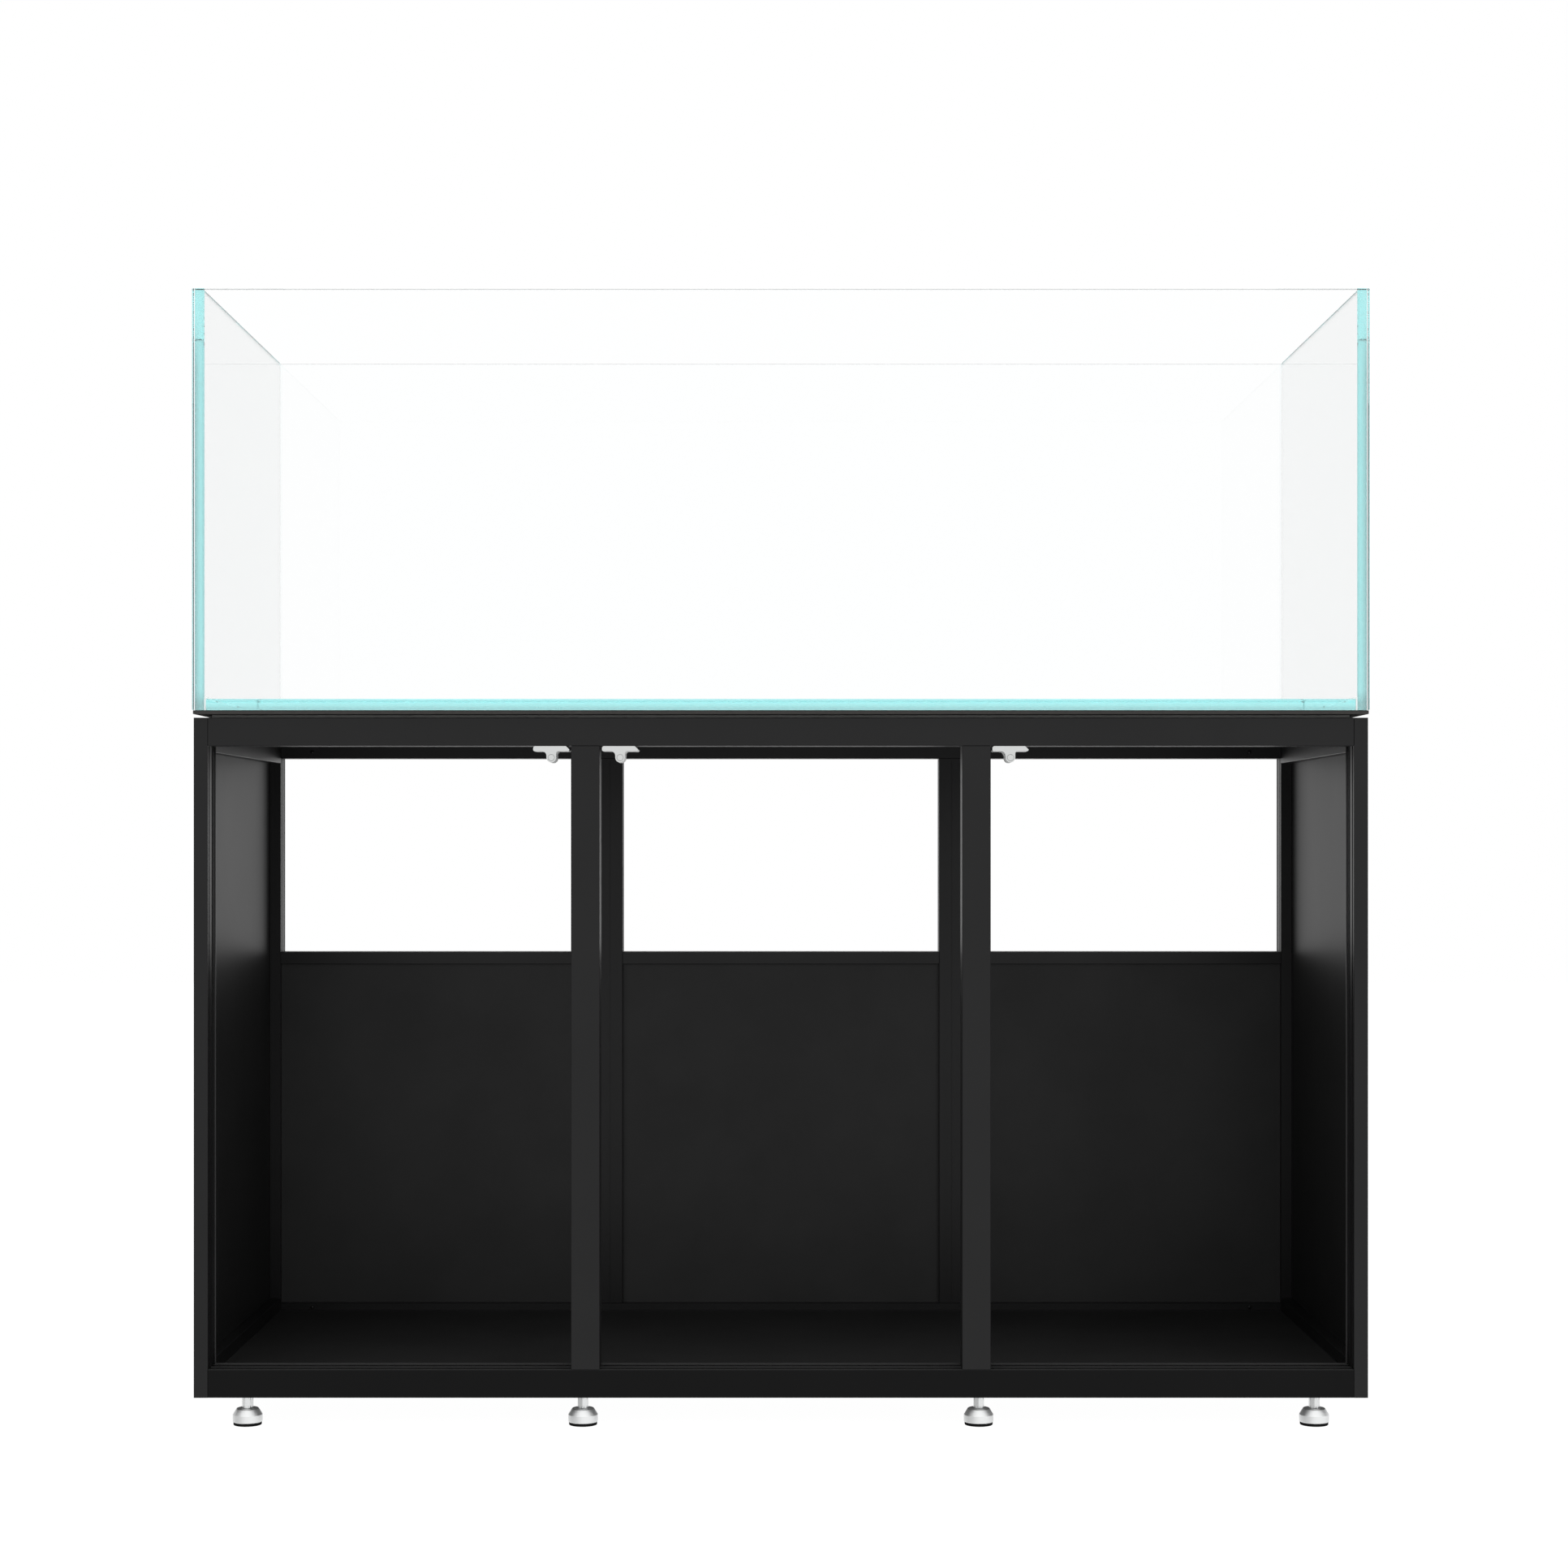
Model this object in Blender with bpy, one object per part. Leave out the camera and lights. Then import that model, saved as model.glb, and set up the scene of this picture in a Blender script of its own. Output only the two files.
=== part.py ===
"""Rimless five-pane aquarium on an open three-bay stand of aluminium profiles.

+X is to the right, +Y to the back and +Z up. The origin is on the floor under the middle
of the tank. All sizes are in metres.
"""

import math

import bmesh
import bpy
from mathutils import Matrix, Vector

# ---- tank
TANK_LENGTH = 1.524
TANK_DEPTH = 0.610
TANK_HEIGHT = 0.546
WALL_GLASS = 0.0127
FLOOR_GLASS = 0.015
SEAM = 0.002  # silicone joint between two panes
SIDE_SETBACK = 0.0015  # the side panes lie this far inside the front pane's ends
ARRIS = 0.001  # ground edge of a pane

# ---- what carries the glass
MAT_THICKNESS = 0.005
MAT_SETBACK = 0.001
DECK_THICKNESS = 0.0045
DECK_INSET = 0.020

# ---- stand
STAND_LENGTH = 1.522
STAND_DEPTH = 0.598
STAND_HEIGHT = 0.8815  # frame without its feet
FOOT_HEIGHT = 0.038
PROFILE_DEPTH = 0.040
POST_WIDTH = 0.0183
MULLION_WIDTH = 0.037
MULLION_X = 0.2535
RAIL_HEIGHT = 0.0365
SIDE_RAIL_HEIGHT = 0.0435
MID_RAIL_HEIGHT = 0.018
MID_RAIL_TOP = 0.5957
CROSS_RAIL_HEIGHT = 0.018
FLOOR_TOP = 0.0635
FLOOR_THICKNESS = 0.005
BACK_PANEL_THICKNESS = 0.003
SIDE_PANEL_THICKNESS = 0.002

# ---- details of a profile
PROFILE_WALL = 0.002
PROFILE_EDGE = 0.0006
SLOT_WIDTH = 0.006
SLOT_DEPTH = 0.0045
SLOT_OFFSET = 0.010  # from the front and the back face to a slot's middle
SLOT_GRIP = 0.0035  # how far a panel reaches into a slot
REBATE_DEPTH = 0.0025  # rebate that takes a side panel
REBATE_WIDTH = 0.006
SEAM_GROOVE_WIDTH = 0.0012  # joint line down the middle of a back mullion
SEAM_GROOVE_DEPTH = 0.0008

# ---- push latches under the front top rail
LATCH_LENGTH = 0.0394
LATCH_HALF_FLANGE = 0.0234
LATCH_FLANGE_HEIGHT = 0.0066
LATCH_DROP = 0.0212
LATCH_BARREL_RADIUS = 0.0062
LATCH_BORE_RADIUS = 0.0044
LATCH_BORE_DEPTH = 0.037
LATCH_GAP_OUTER = 0.0022  # from a mullion to a latch in an outer bay
LATCH_GAP_INNER = 0.0032  # from a mullion to the latch in the middle bay
PLUNGER_RADIUS = 0.0041
PLUNGER_LENGTH = 0.0345
PLUNGER_PROUD = 0.0008  # how far its tip stands out of the housing at rest

# ---- levelling feet
FOOT_X = (-0.6945, -0.2576, 0.2576, 0.6945)
PAD_RADIUS = 0.0183
PAD_HEIGHT = 0.0034
BASE_RADIUS = 0.0192
BASE_RIM_TOP = 0.0132
BASE_CONE_TOP = 0.0215
BASE_CONE_RADIUS = 0.0145
SOCKET_FLOOR = 0.012
HEX_FLATS = 0.0135  # across the flats of the stem's spanner part
ROD_RADIUS = 0.005
ROD_CLEARANCE = 0.0003
ROD_TOP = 0.066
TURNED_FOOT = ("front", "left")  # this foot's hexagon shows a flat to the front

GAP = 0.0003  # clearance between neighbouring pieces
TURN_STEPS = 24

# ---- levels and places that follow from these
STAND_TOP = FOOT_HEIGHT + STAND_HEIGHT
GLASS_BASE = STAND_TOP + DECK_THICKNESS + MAT_THICKNESS
HALF_STAND = STAND_LENGTH / 2
HALF_DEPTH = STAND_DEPTH / 2
POST_INNER = HALF_STAND - POST_WIDTH
PROFILE_INNER = HALF_DEPTH - PROFILE_DEPTH
PROFILE_MIDDLE = HALF_DEPTH - PROFILE_DEPTH / 2
RAIL_TOP = FOOT_HEIGHT + RAIL_HEIGHT  # top of the bottom rails
RAIL_UNDERSIDE = STAND_TOP - RAIL_HEIGHT  # underside of the top rails
MULLION_HALF = MULLION_WIDTH / 2

LEFT_RIGHT = (("left", -1), ("right", 1))
FRONT_BACK = (("front", -1), ("back", 1))
BAYS = (
    ("left", -POST_INNER, -MULLION_X - MULLION_HALF),
    ("centre", -MULLION_X + MULLION_HALF, MULLION_X - MULLION_HALF),
    ("right", MULLION_X + MULLION_HALF, POST_INNER),
)

# A profile is drawn in its own X and Y and runs along its Z; these turn that Z.
ALONG_X = (math.radians(90), 0, math.radians(90))  # X to +Y, Y to +Z
ALONG_Y = (math.radians(-90), 0, 0)  # X stays, Y to -Z
ALONG_Z = (0, 0, 0)
TOWARDS_FRONT = (math.radians(90), 0, 0)  # a turned piece's +Z to -Y


# ---------------------------------------------------------------- scene and materials
def clear_scene():
    for old in list(bpy.data.objects):
        bpy.data.objects.remove(old, do_unlink=True)


def make_material(name, colour, roughness, metallic=0.0, transmission=0.0):
    material = bpy.data.materials.new(name)
    material.use_nodes = True
    shader = material.node_tree.nodes["Principled BSDF"]
    shader.inputs["Base Color"].default_value = (*colour, 1.0)
    shader.inputs["Roughness"].default_value = roughness
    shader.inputs["Metallic"].default_value = metallic
    shader.inputs["Transmission Weight"].default_value = transmission
    material.diffuse_color = (*colour, 1.0)
    return material


def make_materials():
    return {
        "glass": make_material("glass", (0.72, 0.93, 0.93), 0.02, transmission=1.0),
        "silicone": make_material("silicone", (0.85, 0.88, 0.88), 0.35, transmission=0.6),
        "mat": make_material("mat", (0.045, 0.042, 0.040), 0.8),
        "profile": make_material("profile", (0.024, 0.024, 0.025), 0.38, metallic=0.6),
        "panel": make_material("panel", (0.020, 0.020, 0.021), 0.22, metallic=0.3),
        "latch": make_material("latch", (0.64, 0.66, 0.65), 0.45),
        "foot": make_material("foot", (0.80, 0.80, 0.80), 0.18, metallic=1.0),
    }


# ---------------------------------------------------------------- helpers
def add_empty(name, location):
    empty = bpy.data.objects.new(name, None)
    empty.empty_display_size = 0.02
    empty.location = location
    bpy.context.collection.objects.link(empty)
    return empty


def add_object(name, bm, material, location, rotation=ALONG_Z, parent=None, smooth=False):
    """Turn a bmesh into a named object; the location is relative to the parent empty."""
    bmesh.ops.recalc_face_normals(bm, faces=bm.faces)
    mesh = bpy.data.meshes.new(name)
    bm.to_mesh(mesh)
    bm.free()
    if smooth:
        mesh.shade_smooth()
        mesh.set_sharp_from_angle(angle=math.radians(35))
    mesh.materials.append(material)
    obj = bpy.data.objects.new(name, mesh)
    obj.location = location
    obj.rotation_euler = rotation
    obj.parent = parent
    bpy.context.collection.objects.link(obj)
    return obj


def add_cutter(name, bm, target, location, rotation=ALONG_Z, parent=None, keep="DIFFERENCE"):
    """Cut the target with a bmesh: keep what is outside it, or inside it with INTERSECT."""
    cutter = add_object(name, bm, target.data.materials[0], location, rotation, parent)
    cutter.hide_render = True
    cutter.display_type = "WIRE"
    cut = target.modifiers.new("cut_" + name, "BOOLEAN")
    cut.operation = keep
    cut.object = cutter


def add_box(name, low, high, material, parent=None, edge=0.0):
    """A block between two corners, with its edges broken by edge."""
    low, high = Vector(low), Vector(high)
    bm = bmesh.new()
    bmesh.ops.create_cube(bm, size=1.0, matrix=Matrix.Diagonal((high - low).to_4d()))
    if edge:
        bmesh.ops.bevel(bm, geom=bm.edges[:], offset=edge, segments=1, affect="EDGES")
    location = (low + high) / 2
    if parent:
        location -= parent.location
    return add_object(name, bm, material, location, parent=parent)


def extruded(loops, length):
    """A closed bmesh: the area between the first loop and the others, run along +-Z."""
    bm = bmesh.new()
    edges = []
    for loop in loops:
        verts = [bm.verts.new((u, v, -length / 2)) for u, v in loop]
        edges += [bm.edges.new(pair) for pair in zip(verts, verts[1:] + verts[:1])]
    bmesh.ops.triangle_fill(bm, use_beauty=True, edges=edges)
    grown = bmesh.ops.extrude_face_region(bm, geom=bm.faces[:])
    moved = [item for item in grown["geom"] if isinstance(item, bmesh.types.BMVert)]
    bmesh.ops.translate(bm, verts=moved, vec=(0, 0, length))
    return bm


def turned(profile):
    """A closed bmesh: a profile of (radius, height) points spun about Z."""
    bm = bmesh.new()
    verts = [bm.verts.new((radius, 0, height)) for radius, height in profile]
    edges = [bm.edges.new(pair) for pair in zip(verts, verts[1:])]
    spun = {"axis": (0, 0, 1), "cent": (0, 0, 0), "steps": TURN_STEPS, "angle": math.tau}
    bmesh.ops.spin(bm, geom=verts + edges, **spun)
    bmesh.ops.remove_doubles(bm, verts=bm.verts[:], dist=1e-6)
    return bm


def rods(places, radius, depth):
    """A bmesh with one upright cylinder, centred on each (x, y, z)."""
    bm = bmesh.new()
    for place in places:
        bmesh.ops.create_cone(
            bm, cap_ends=True, segments=TURN_STEPS, radius1=radius, radius2=radius,
            depth=depth, matrix=Matrix.Translation(place),
        )
    return bm


def arc(centre, radius, start, end, steps=4):
    """Points on an arc between two angles in degrees."""
    angles = [math.radians(start + (end - start) * step / steps) for step in range(steps + 1)]
    return [
        (centre[0] + radius * math.cos(angle), centre[1] + radius * math.sin(angle))
        for angle in angles
    ]


# ---------------------------------------------------------------- profile sections
def profile_outline(width, depth, slots=None, rebates=None):
    """Outline of a profile, counter-clockwise from its -X -Y corner.

    Sides 0 to 3 face -Y, +X, +Y and -X. slots gives, for a side, (place along the side,
    width, depth) of each slot. rebates gives, for the corner where a side starts, its size
    along the side before it and along that side.
    """
    half = Vector((width / 2, depth / 2))
    signs = ((-1, -1), (1, -1), (1, 1), (-1, 1))
    headings = [Vector(h) for h in ((1, 0), (0, 1), (-1, 0), (0, -1))]
    points = []
    for side, ahead in enumerate(headings):
        corner = Vector((signs[side][0] * half.x, signs[side][1] * half.y))
        behind = headings[side - 1]
        inward = Vector((-ahead.y, ahead.x))
        back, on = (rebates or {}).get(side, (PROFILE_EDGE, PROFILE_EDGE))
        points.append(corner - behind * back)
        if rebates and side in rebates:
            points.append(corner - behind * back + ahead * on)
        points.append(corner + ahead * on)
        for place, across, dip in (slots or {}).get(side, ()):
            near, far = place - across / 2, place + across / 2
            for along, down in ((near, 0), (near, dip), (far, dip), (far, 0)):
                points.append(corner + ahead * along + inward * down)
    return [tuple(point) for point in points]


def rectangle(low_u, high_u, low_v, high_v):
    return [(low_u, low_v), (high_u, low_v), (high_u, high_v), (low_u, high_v)]


def mirrored(loops, flip_u, flip_v):
    return [[(u * flip_u, v * flip_v) for u, v in loop] for loop in loops]


def slot_pair(length=PROFILE_DEPTH):
    """The two slots of a 40 mm face."""
    return [(place, SLOT_WIDTH, SLOT_DEPTH) for place in (SLOT_OFFSET, length - SLOT_OFFSET)]


def post_section():
    """Front left post: slots towards the bay (+X), rebate at the outer inner corner."""
    outline = profile_outline(
        POST_WIDTH, PROFILE_DEPTH, {1: slot_pair()}, {3: (REBATE_DEPTH, REBATE_WIDTH)}
    )
    outer = -POST_WIDTH / 2 + REBATE_DEPTH + PROFILE_WALL
    inner = POST_WIDTH / 2 - SLOT_DEPTH - PROFILE_WALL
    half = PROFILE_DEPTH / 2 - PROFILE_WALL
    return [outline, rectangle(outer, inner, -half, half)]


def mullion_section(seam_line):
    """Slots towards both bays; a back mullion has a joint line down its front face."""
    slots = {1: slot_pair(), 3: slot_pair()}
    if seam_line:
        slots[0] = [(MULLION_HALF, SEAM_GROOVE_WIDTH, SEAM_GROOVE_DEPTH)]
    half_u = MULLION_HALF - SLOT_DEPTH - PROFILE_WALL
    half_v = PROFILE_DEPTH / 2 - PROFILE_WALL - SEAM_GROOVE_DEPTH
    outline = profile_outline(MULLION_WIDTH, PROFILE_DEPTH, slots)
    return [outline, rectangle(-half_u, half_u, -half_v, half_v)]


def rail_section(height, slots_below, slots_above):
    """A long rail, X to the back and Y up."""
    slots = {}
    if slots_below:
        slots[0] = slot_pair()
    if slots_above:
        slots[2] = slot_pair()
    low = -height / 2 + PROFILE_WALL + (SLOT_DEPTH if slots_below else 0)
    high = height / 2 - PROFILE_WALL - (SLOT_DEPTH if slots_above else 0)
    half = PROFILE_DEPTH / 2 - PROFILE_WALL
    return [profile_outline(PROFILE_DEPTH, height, slots), rectangle(-half, half, low, high)]


def side_rail_section():
    """Left top side rail, Y downwards: rebate at its outer lower corner."""
    outline = profile_outline(
        POST_WIDTH, SIDE_RAIL_HEIGHT, None, {3: (REBATE_DEPTH, REBATE_WIDTH)}
    )
    outer = -POST_WIDTH / 2 + REBATE_DEPTH + PROFILE_WALL
    inner = POST_WIDTH / 2 - PROFILE_WALL
    half = SIDE_RAIL_HEIGHT / 2 - PROFILE_WALL
    return [outline, rectangle(outer, inner, -half, half)]


def cross_rail_section(height):
    half_u = MULLION_HALF - PROFILE_WALL
    half_v = height / 2 - PROFILE_WALL
    outline = profile_outline(MULLION_WIDTH, height)
    return [outline, rectangle(-half_u, half_u, -half_v, half_v)]


# ---------------------------------------------------------------- tank
def build_tank(materials):
    glass = materials["glass"]
    tank = add_empty("tank", (0, 0, GLASS_BASE))
    top = GLASS_BASE + TANK_HEIGHT
    half_x, half_y = TANK_LENGTH / 2, TANK_DEPTH / 2
    wall_y = half_y - WALL_GLASS
    side_x = half_x - SIDE_SETBACK
    wall_x = side_x - WALL_GLASS
    pane_y = wall_y - SEAM
    pane_x = wall_x - SEAM
    for side, sign in FRONT_BACK:
        near, far = sorted((sign * wall_y, sign * half_y))
        low, high = (-half_x, near, GLASS_BASE), (half_x, far, top)
        add_box(f"pane_{side}", low, high, glass, tank, ARRIS)
    for side, sign in LEFT_RIGHT:
        near, far = sorted((sign * wall_x, sign * side_x))
        low, high = (near, -pane_y, GLASS_BASE), (far, pane_y, top)
        add_box(f"pane_{side}", low, high, glass, tank, ARRIS)
    low, high = (-pane_x, -pane_y, GLASS_BASE), (pane_x, pane_y, GLASS_BASE + FLOOR_GLASS)
    add_box("pane_bottom", low, high, glass, tank, ARRIS)
    build_seal(materials["silicone"], tank, side_x - ARRIS, wall_x, pane_x, wall_y, pane_y)


def build_seal(material, tank, corner_x, wall_x, pane_x, wall_y, pane_y):
    """One bead of silicone: a ring round the bottom pane and a strip up each corner."""
    ring_x, hole_x = wall_x - GAP, pane_x + GAP
    ring_y, hole_y = wall_y - GAP, pane_y + GAP
    cuts_x = (-corner_x, -ring_x, -hole_x, hole_x, ring_x, corner_x)
    cuts_y = (-ring_y, -hole_y, hole_y, ring_y)
    bm = bmesh.new()
    grid = [[bm.verts.new((x, y, 0)) for y in cuts_y] for x in cuts_x]
    for column in range(len(cuts_x) - 1):
        for row in range(len(cuts_y) - 1):
            if row == 1 and column not in (1, 3):
                continue
            near, far = grid[column], grid[column + 1]
            bm.faces.new((near[row], far[row], far[row + 1], near[row + 1]))
    loose = [vert for vert in bm.verts if not vert.link_faces]
    bmesh.ops.delete(bm, geom=loose, context="VERTS")
    raise_faces(bm, bm.faces[:], FLOOR_GLASS - ARRIS)
    corners = [
        face for face in bm.faces
        if face.calc_center_median().z > FLOOR_GLASS - 2 * ARRIS
        and abs(face.calc_center_median().x) > ring_x
    ]
    raise_faces(bm, corners, TANK_HEIGHT - FLOOR_GLASS)
    bmesh.ops.delete(bm, geom=corners, context="FACES_ONLY")
    add_object("silicone_seal", bm, material, (0, 0, 0), parent=tank)


def raise_faces(bm, faces, height):
    grown = bmesh.ops.extrude_face_region(bm, geom=faces)
    moved = [item for item in grown["geom"] if isinstance(item, bmesh.types.BMVert)]
    bmesh.ops.translate(bm, verts=moved, vec=(0, 0, height))


def build_support(materials):
    """The mat under the glass and the deck that carries it, clear of the stand's rim."""
    half_x, half_y = TANK_LENGTH / 2 - MAT_SETBACK, TANK_DEPTH / 2 - MAT_SETBACK
    mat_low = GLASS_BASE - MAT_THICKNESS
    low, high = (-half_x, -half_y, mat_low), (half_x, half_y, GLASS_BASE - GAP)
    add_box("levelling_mat", low, high, materials["mat"], edge=0.0004)
    half_x, half_y = HALF_STAND - DECK_INSET, HALF_DEPTH - DECK_INSET
    low, high = (-half_x, -half_y, STAND_TOP + GAP), (half_x, half_y, mat_low - GAP)
    add_box("deck_panel", low, high, materials["panel"], edge=0.0004)


# ---------------------------------------------------------------- stand
def build_posts(material, stand):
    for depth_name, toward_y in FRONT_BACK:
        for side_name, toward_x in LEFT_RIGHT:
            loops = mirrored(post_section(), -toward_x, -toward_y)
            place = (
                toward_x * (HALF_STAND - POST_WIDTH / 2),
                toward_y * PROFILE_MIDDLE,
                STAND_HEIGHT / 2,
            )
            bm = extruded(loops, STAND_HEIGHT)
            add_object(f"post_{depth_name}_{side_name}", bm, material, place, parent=stand)


def build_mullions(material, stand):
    length = RAIL_UNDERSIDE - RAIL_TOP - 2 * GAP
    for depth_name, toward_y in FRONT_BACK:
        loops = mullion_section(seam_line=depth_name == "back")
        for side_name, toward_x in LEFT_RIGHT:
            place = (toward_x * MULLION_X, toward_y * PROFILE_MIDDLE, STAND_HEIGHT / 2)
            name = f"mullion_{depth_name}_{side_name}"
            add_object(name, extruded(loops, length), material, place, parent=stand)


def build_long_rails(material, stand):
    length = 2 * (POST_INNER - GAP)
    for depth_name, toward_y in FRONT_BACK:
        for level, below, above in (("top", True, False), ("bottom", False, True)):
            loops = rail_section(RAIL_HEIGHT, below, above)
            height = RAIL_HEIGHT / 2
            if level == "top":
                height = STAND_HEIGHT - height
            place = (0, toward_y * PROFILE_MIDDLE, height)
            name = f"rail_{depth_name}_{level}"
            rail = add_object(name, extruded(loops, length), material, place, ALONG_X, stand)
            if level == "bottom":
                holes = [(x, toward_y * PROFILE_MIDDLE, 0) for x in FOOT_X]
                cutter = rods(holes, ROD_RADIUS + ROD_CLEARANCE, 4 * PROFILE_WALL)
                add_cutter(f"stem_holes_{depth_name}", cutter, rail, (0, 0, 0), parent=stand)


def build_side_rails(material, stand):
    length = 2 * (PROFILE_INNER - GAP)
    for side_name, toward_x in LEFT_RIGHT:
        for level, upright in (("top", 1), ("bottom", -1)):
            loops = mirrored(side_rail_section(), -toward_x, upright)
            height = SIDE_RAIL_HEIGHT / 2
            if level == "top":
                height = STAND_HEIGHT - height
            place = (toward_x * (HALF_STAND - POST_WIDTH / 2), 0, height)
            bm = extruded(loops, length)
            add_object(f"side_rail_{side_name}_{level}", bm, material, place, ALONG_Y, stand)


def build_cross_rails(material, stand):
    """Front-to-back rails at the mullions, under the deck and under the floor panel."""
    length = 2 * (PROFILE_INNER - GAP)
    floor_rail_height = FLOOR_TOP - FLOOR_THICKNESS - GAP - FOOT_HEIGHT
    levels = (
        ("top", CROSS_RAIL_HEIGHT, STAND_HEIGHT - CROSS_RAIL_HEIGHT / 2),
        ("bottom", floor_rail_height, floor_rail_height / 2),
    )
    for side_name, toward_x in LEFT_RIGHT:
        for level, height, middle in levels:
            bm = extruded(cross_rail_section(height), length)
            place = (toward_x * MULLION_X, 0, middle)
            add_object(f"cross_rail_{side_name}_{level}", bm, material, place, ALONG_Y, stand)


def build_mid_rails(material, stand):
    """Rails across the back bays, above the back panels."""
    middle = MID_RAIL_TOP - MID_RAIL_HEIGHT / 2 - FOOT_HEIGHT
    for bay, left, right in BAYS:
        bm = extruded(rail_section(MID_RAIL_HEIGHT, True, True), right - left - 2 * GAP)
        place = ((left + right) / 2, PROFILE_MIDDLE, middle)
        add_object(f"mid_rail_{bay}", bm, material, place, ALONG_X, stand)


def build_panels(material, stand):
    low_z = RAIL_TOP - SLOT_GRIP
    high_z = MID_RAIL_TOP - MID_RAIL_HEIGHT + SLOT_GRIP
    slot_y = PROFILE_INNER + SLOT_OFFSET
    near, far = slot_y - BACK_PANEL_THICKNESS / 2, slot_y + BACK_PANEL_THICKNESS / 2
    for bay, left, right in BAYS:
        low, high = (left - SLOT_GRIP, near, low_z), (right + SLOT_GRIP, far, high_z)
        add_box(f"back_panel_{bay}", low, high, material, stand)

    outer = HALF_STAND - (REBATE_DEPTH - SIDE_PANEL_THICKNESS) / 2
    inner = outer - SIDE_PANEL_THICKNESS
    half_y = PROFILE_INNER + REBATE_WIDTH - GAP
    low_z = FOOT_HEIGHT + SIDE_RAIL_HEIGHT - REBATE_WIDTH + GAP
    high_z = STAND_TOP - SIDE_RAIL_HEIGHT + REBATE_WIDTH - GAP
    for side_name, toward_x in LEFT_RIGHT:
        near, far = sorted((toward_x * inner, toward_x * outer))
        low, high = (near, -half_y, low_z), (far, half_y, high_z)
        add_box(f"side_panel_{side_name}", low, high, material, stand)

    half_x, half_y = POST_INNER - GAP, PROFILE_INNER - GAP
    low, high = (-half_x, -half_y, FLOOR_TOP - FLOOR_THICKNESS), (half_x, half_y, FLOOR_TOP)
    add_box("floor_panel", low, high, material, stand)


def build_stand(materials):
    stand = add_empty("stand", (0, 0, FOOT_HEIGHT))
    profile, panel = materials["profile"], materials["panel"]
    build_posts(profile, stand)
    build_mullions(profile, stand)
    build_long_rails(profile, stand)
    build_side_rails(profile, stand)
    build_cross_rails(profile, stand)
    build_mid_rails(profile, stand)
    build_panels(panel, stand)


# ---------------------------------------------------------------- push latches
def latch_outline():
    """Flange and barrel seen from the front, Y downwards from the rail's underside."""
    half, height, radius = LATCH_HALF_FLANGE, LATCH_FLANGE_HEIGHT, LATCH_BARREL_RADIUS
    round_corner, slant, small_corner = 0.0028, 0.0044, 0.0018
    left_fillet, right_fillet = 0.0060, 0.0030
    low = height - small_corner
    points = arc((-half + round_corner, round_corner), round_corner, 180, 270)
    points += [(half - slant, 0), (half, slant)]
    points += arc((half - small_corner, low), small_corner, 0, 90, 3)
    points += arc((radius + right_fillet, height + right_fillet), right_fillet, 270, 180)
    points += arc((0, LATCH_DROP - radius), radius, 0, 180, 12)
    points += arc((-radius - left_fillet, height + left_fillet), left_fillet, 0, -90)
    points += arc((-half + small_corner, low), small_corner, 90, 180, 3)
    return points


def plunger_profile():
    tip, rear = PLUNGER_PROUD, PLUNGER_PROUD - PLUNGER_LENGTH
    edge = 0.0008
    return [
        (0, rear), (PLUNGER_RADIUS - edge, rear), (PLUNGER_RADIUS, rear + edge),
        (PLUNGER_RADIUS, tip - edge), (PLUNGER_RADIUS - edge, tip), (0, tip),
    ]


def build_latches(material):
    """Push latches beside the mullions; each plunger slides out along -Y on its empty."""
    outward = MULLION_HALF + LATCH_GAP_OUTER + LATCH_HALF_FLANGE
    inward = MULLION_HALF + LATCH_GAP_INNER + LATCH_HALF_FLANGE
    front = -HALF_DEPTH + GAP
    axis_drop = LATCH_DROP - LATCH_BARREL_RADIUS
    places = {
        "left": -MULLION_X - outward, "centre": -MULLION_X + inward, "right": MULLION_X + outward,
    }
    for name, x in places.items():
        axis = add_empty(f"latch_axis_{name}", (x, front, RAIL_UNDERSIDE - GAP - axis_drop))
        body = extruded([latch_outline()], LATCH_LENGTH)
        middle = (0, LATCH_LENGTH / 2, axis_drop)
        housing = add_object(f"latch_housing_{name}", body, material, middle, ALONG_Y, axis)
        bore = rods([(0, 0, 0)], LATCH_BORE_RADIUS, 2 * LATCH_BORE_DEPTH)
        add_cutter(f"latch_bore_{name}", bore, housing, (0, 0, 0), TOWARDS_FRONT, axis)
        plunger = turned(plunger_profile())
        add_object(
            f"latch_plunger_{name}", plunger, material, (0, 0, 0), TOWARDS_FRONT, axis, smooth=True
        )


# ---------------------------------------------------------------- levelling feet
def foot_base_profile():
    """Rubber pad, rim and cone, with a socket for the stem in the top."""
    edge, socket = 0.0006, ROD_RADIUS + ROD_CLEARANCE
    return [
        (0, 0), (PAD_RADIUS - edge, 0), (PAD_RADIUS, edge), (PAD_RADIUS, PAD_HEIGHT),
        (BASE_RADIUS, PAD_HEIGHT), (BASE_RADIUS, BASE_RIM_TOP),
        (BASE_RADIUS - edge, BASE_RIM_TOP + edge), (BASE_CONE_RADIUS, BASE_CONE_TOP - edge),
        (BASE_CONE_RADIUS - edge, BASE_CONE_TOP), (socket, BASE_CONE_TOP),
        (socket, SOCKET_FLOOR), (0, SOCKET_FLOOR),
    ]


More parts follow.
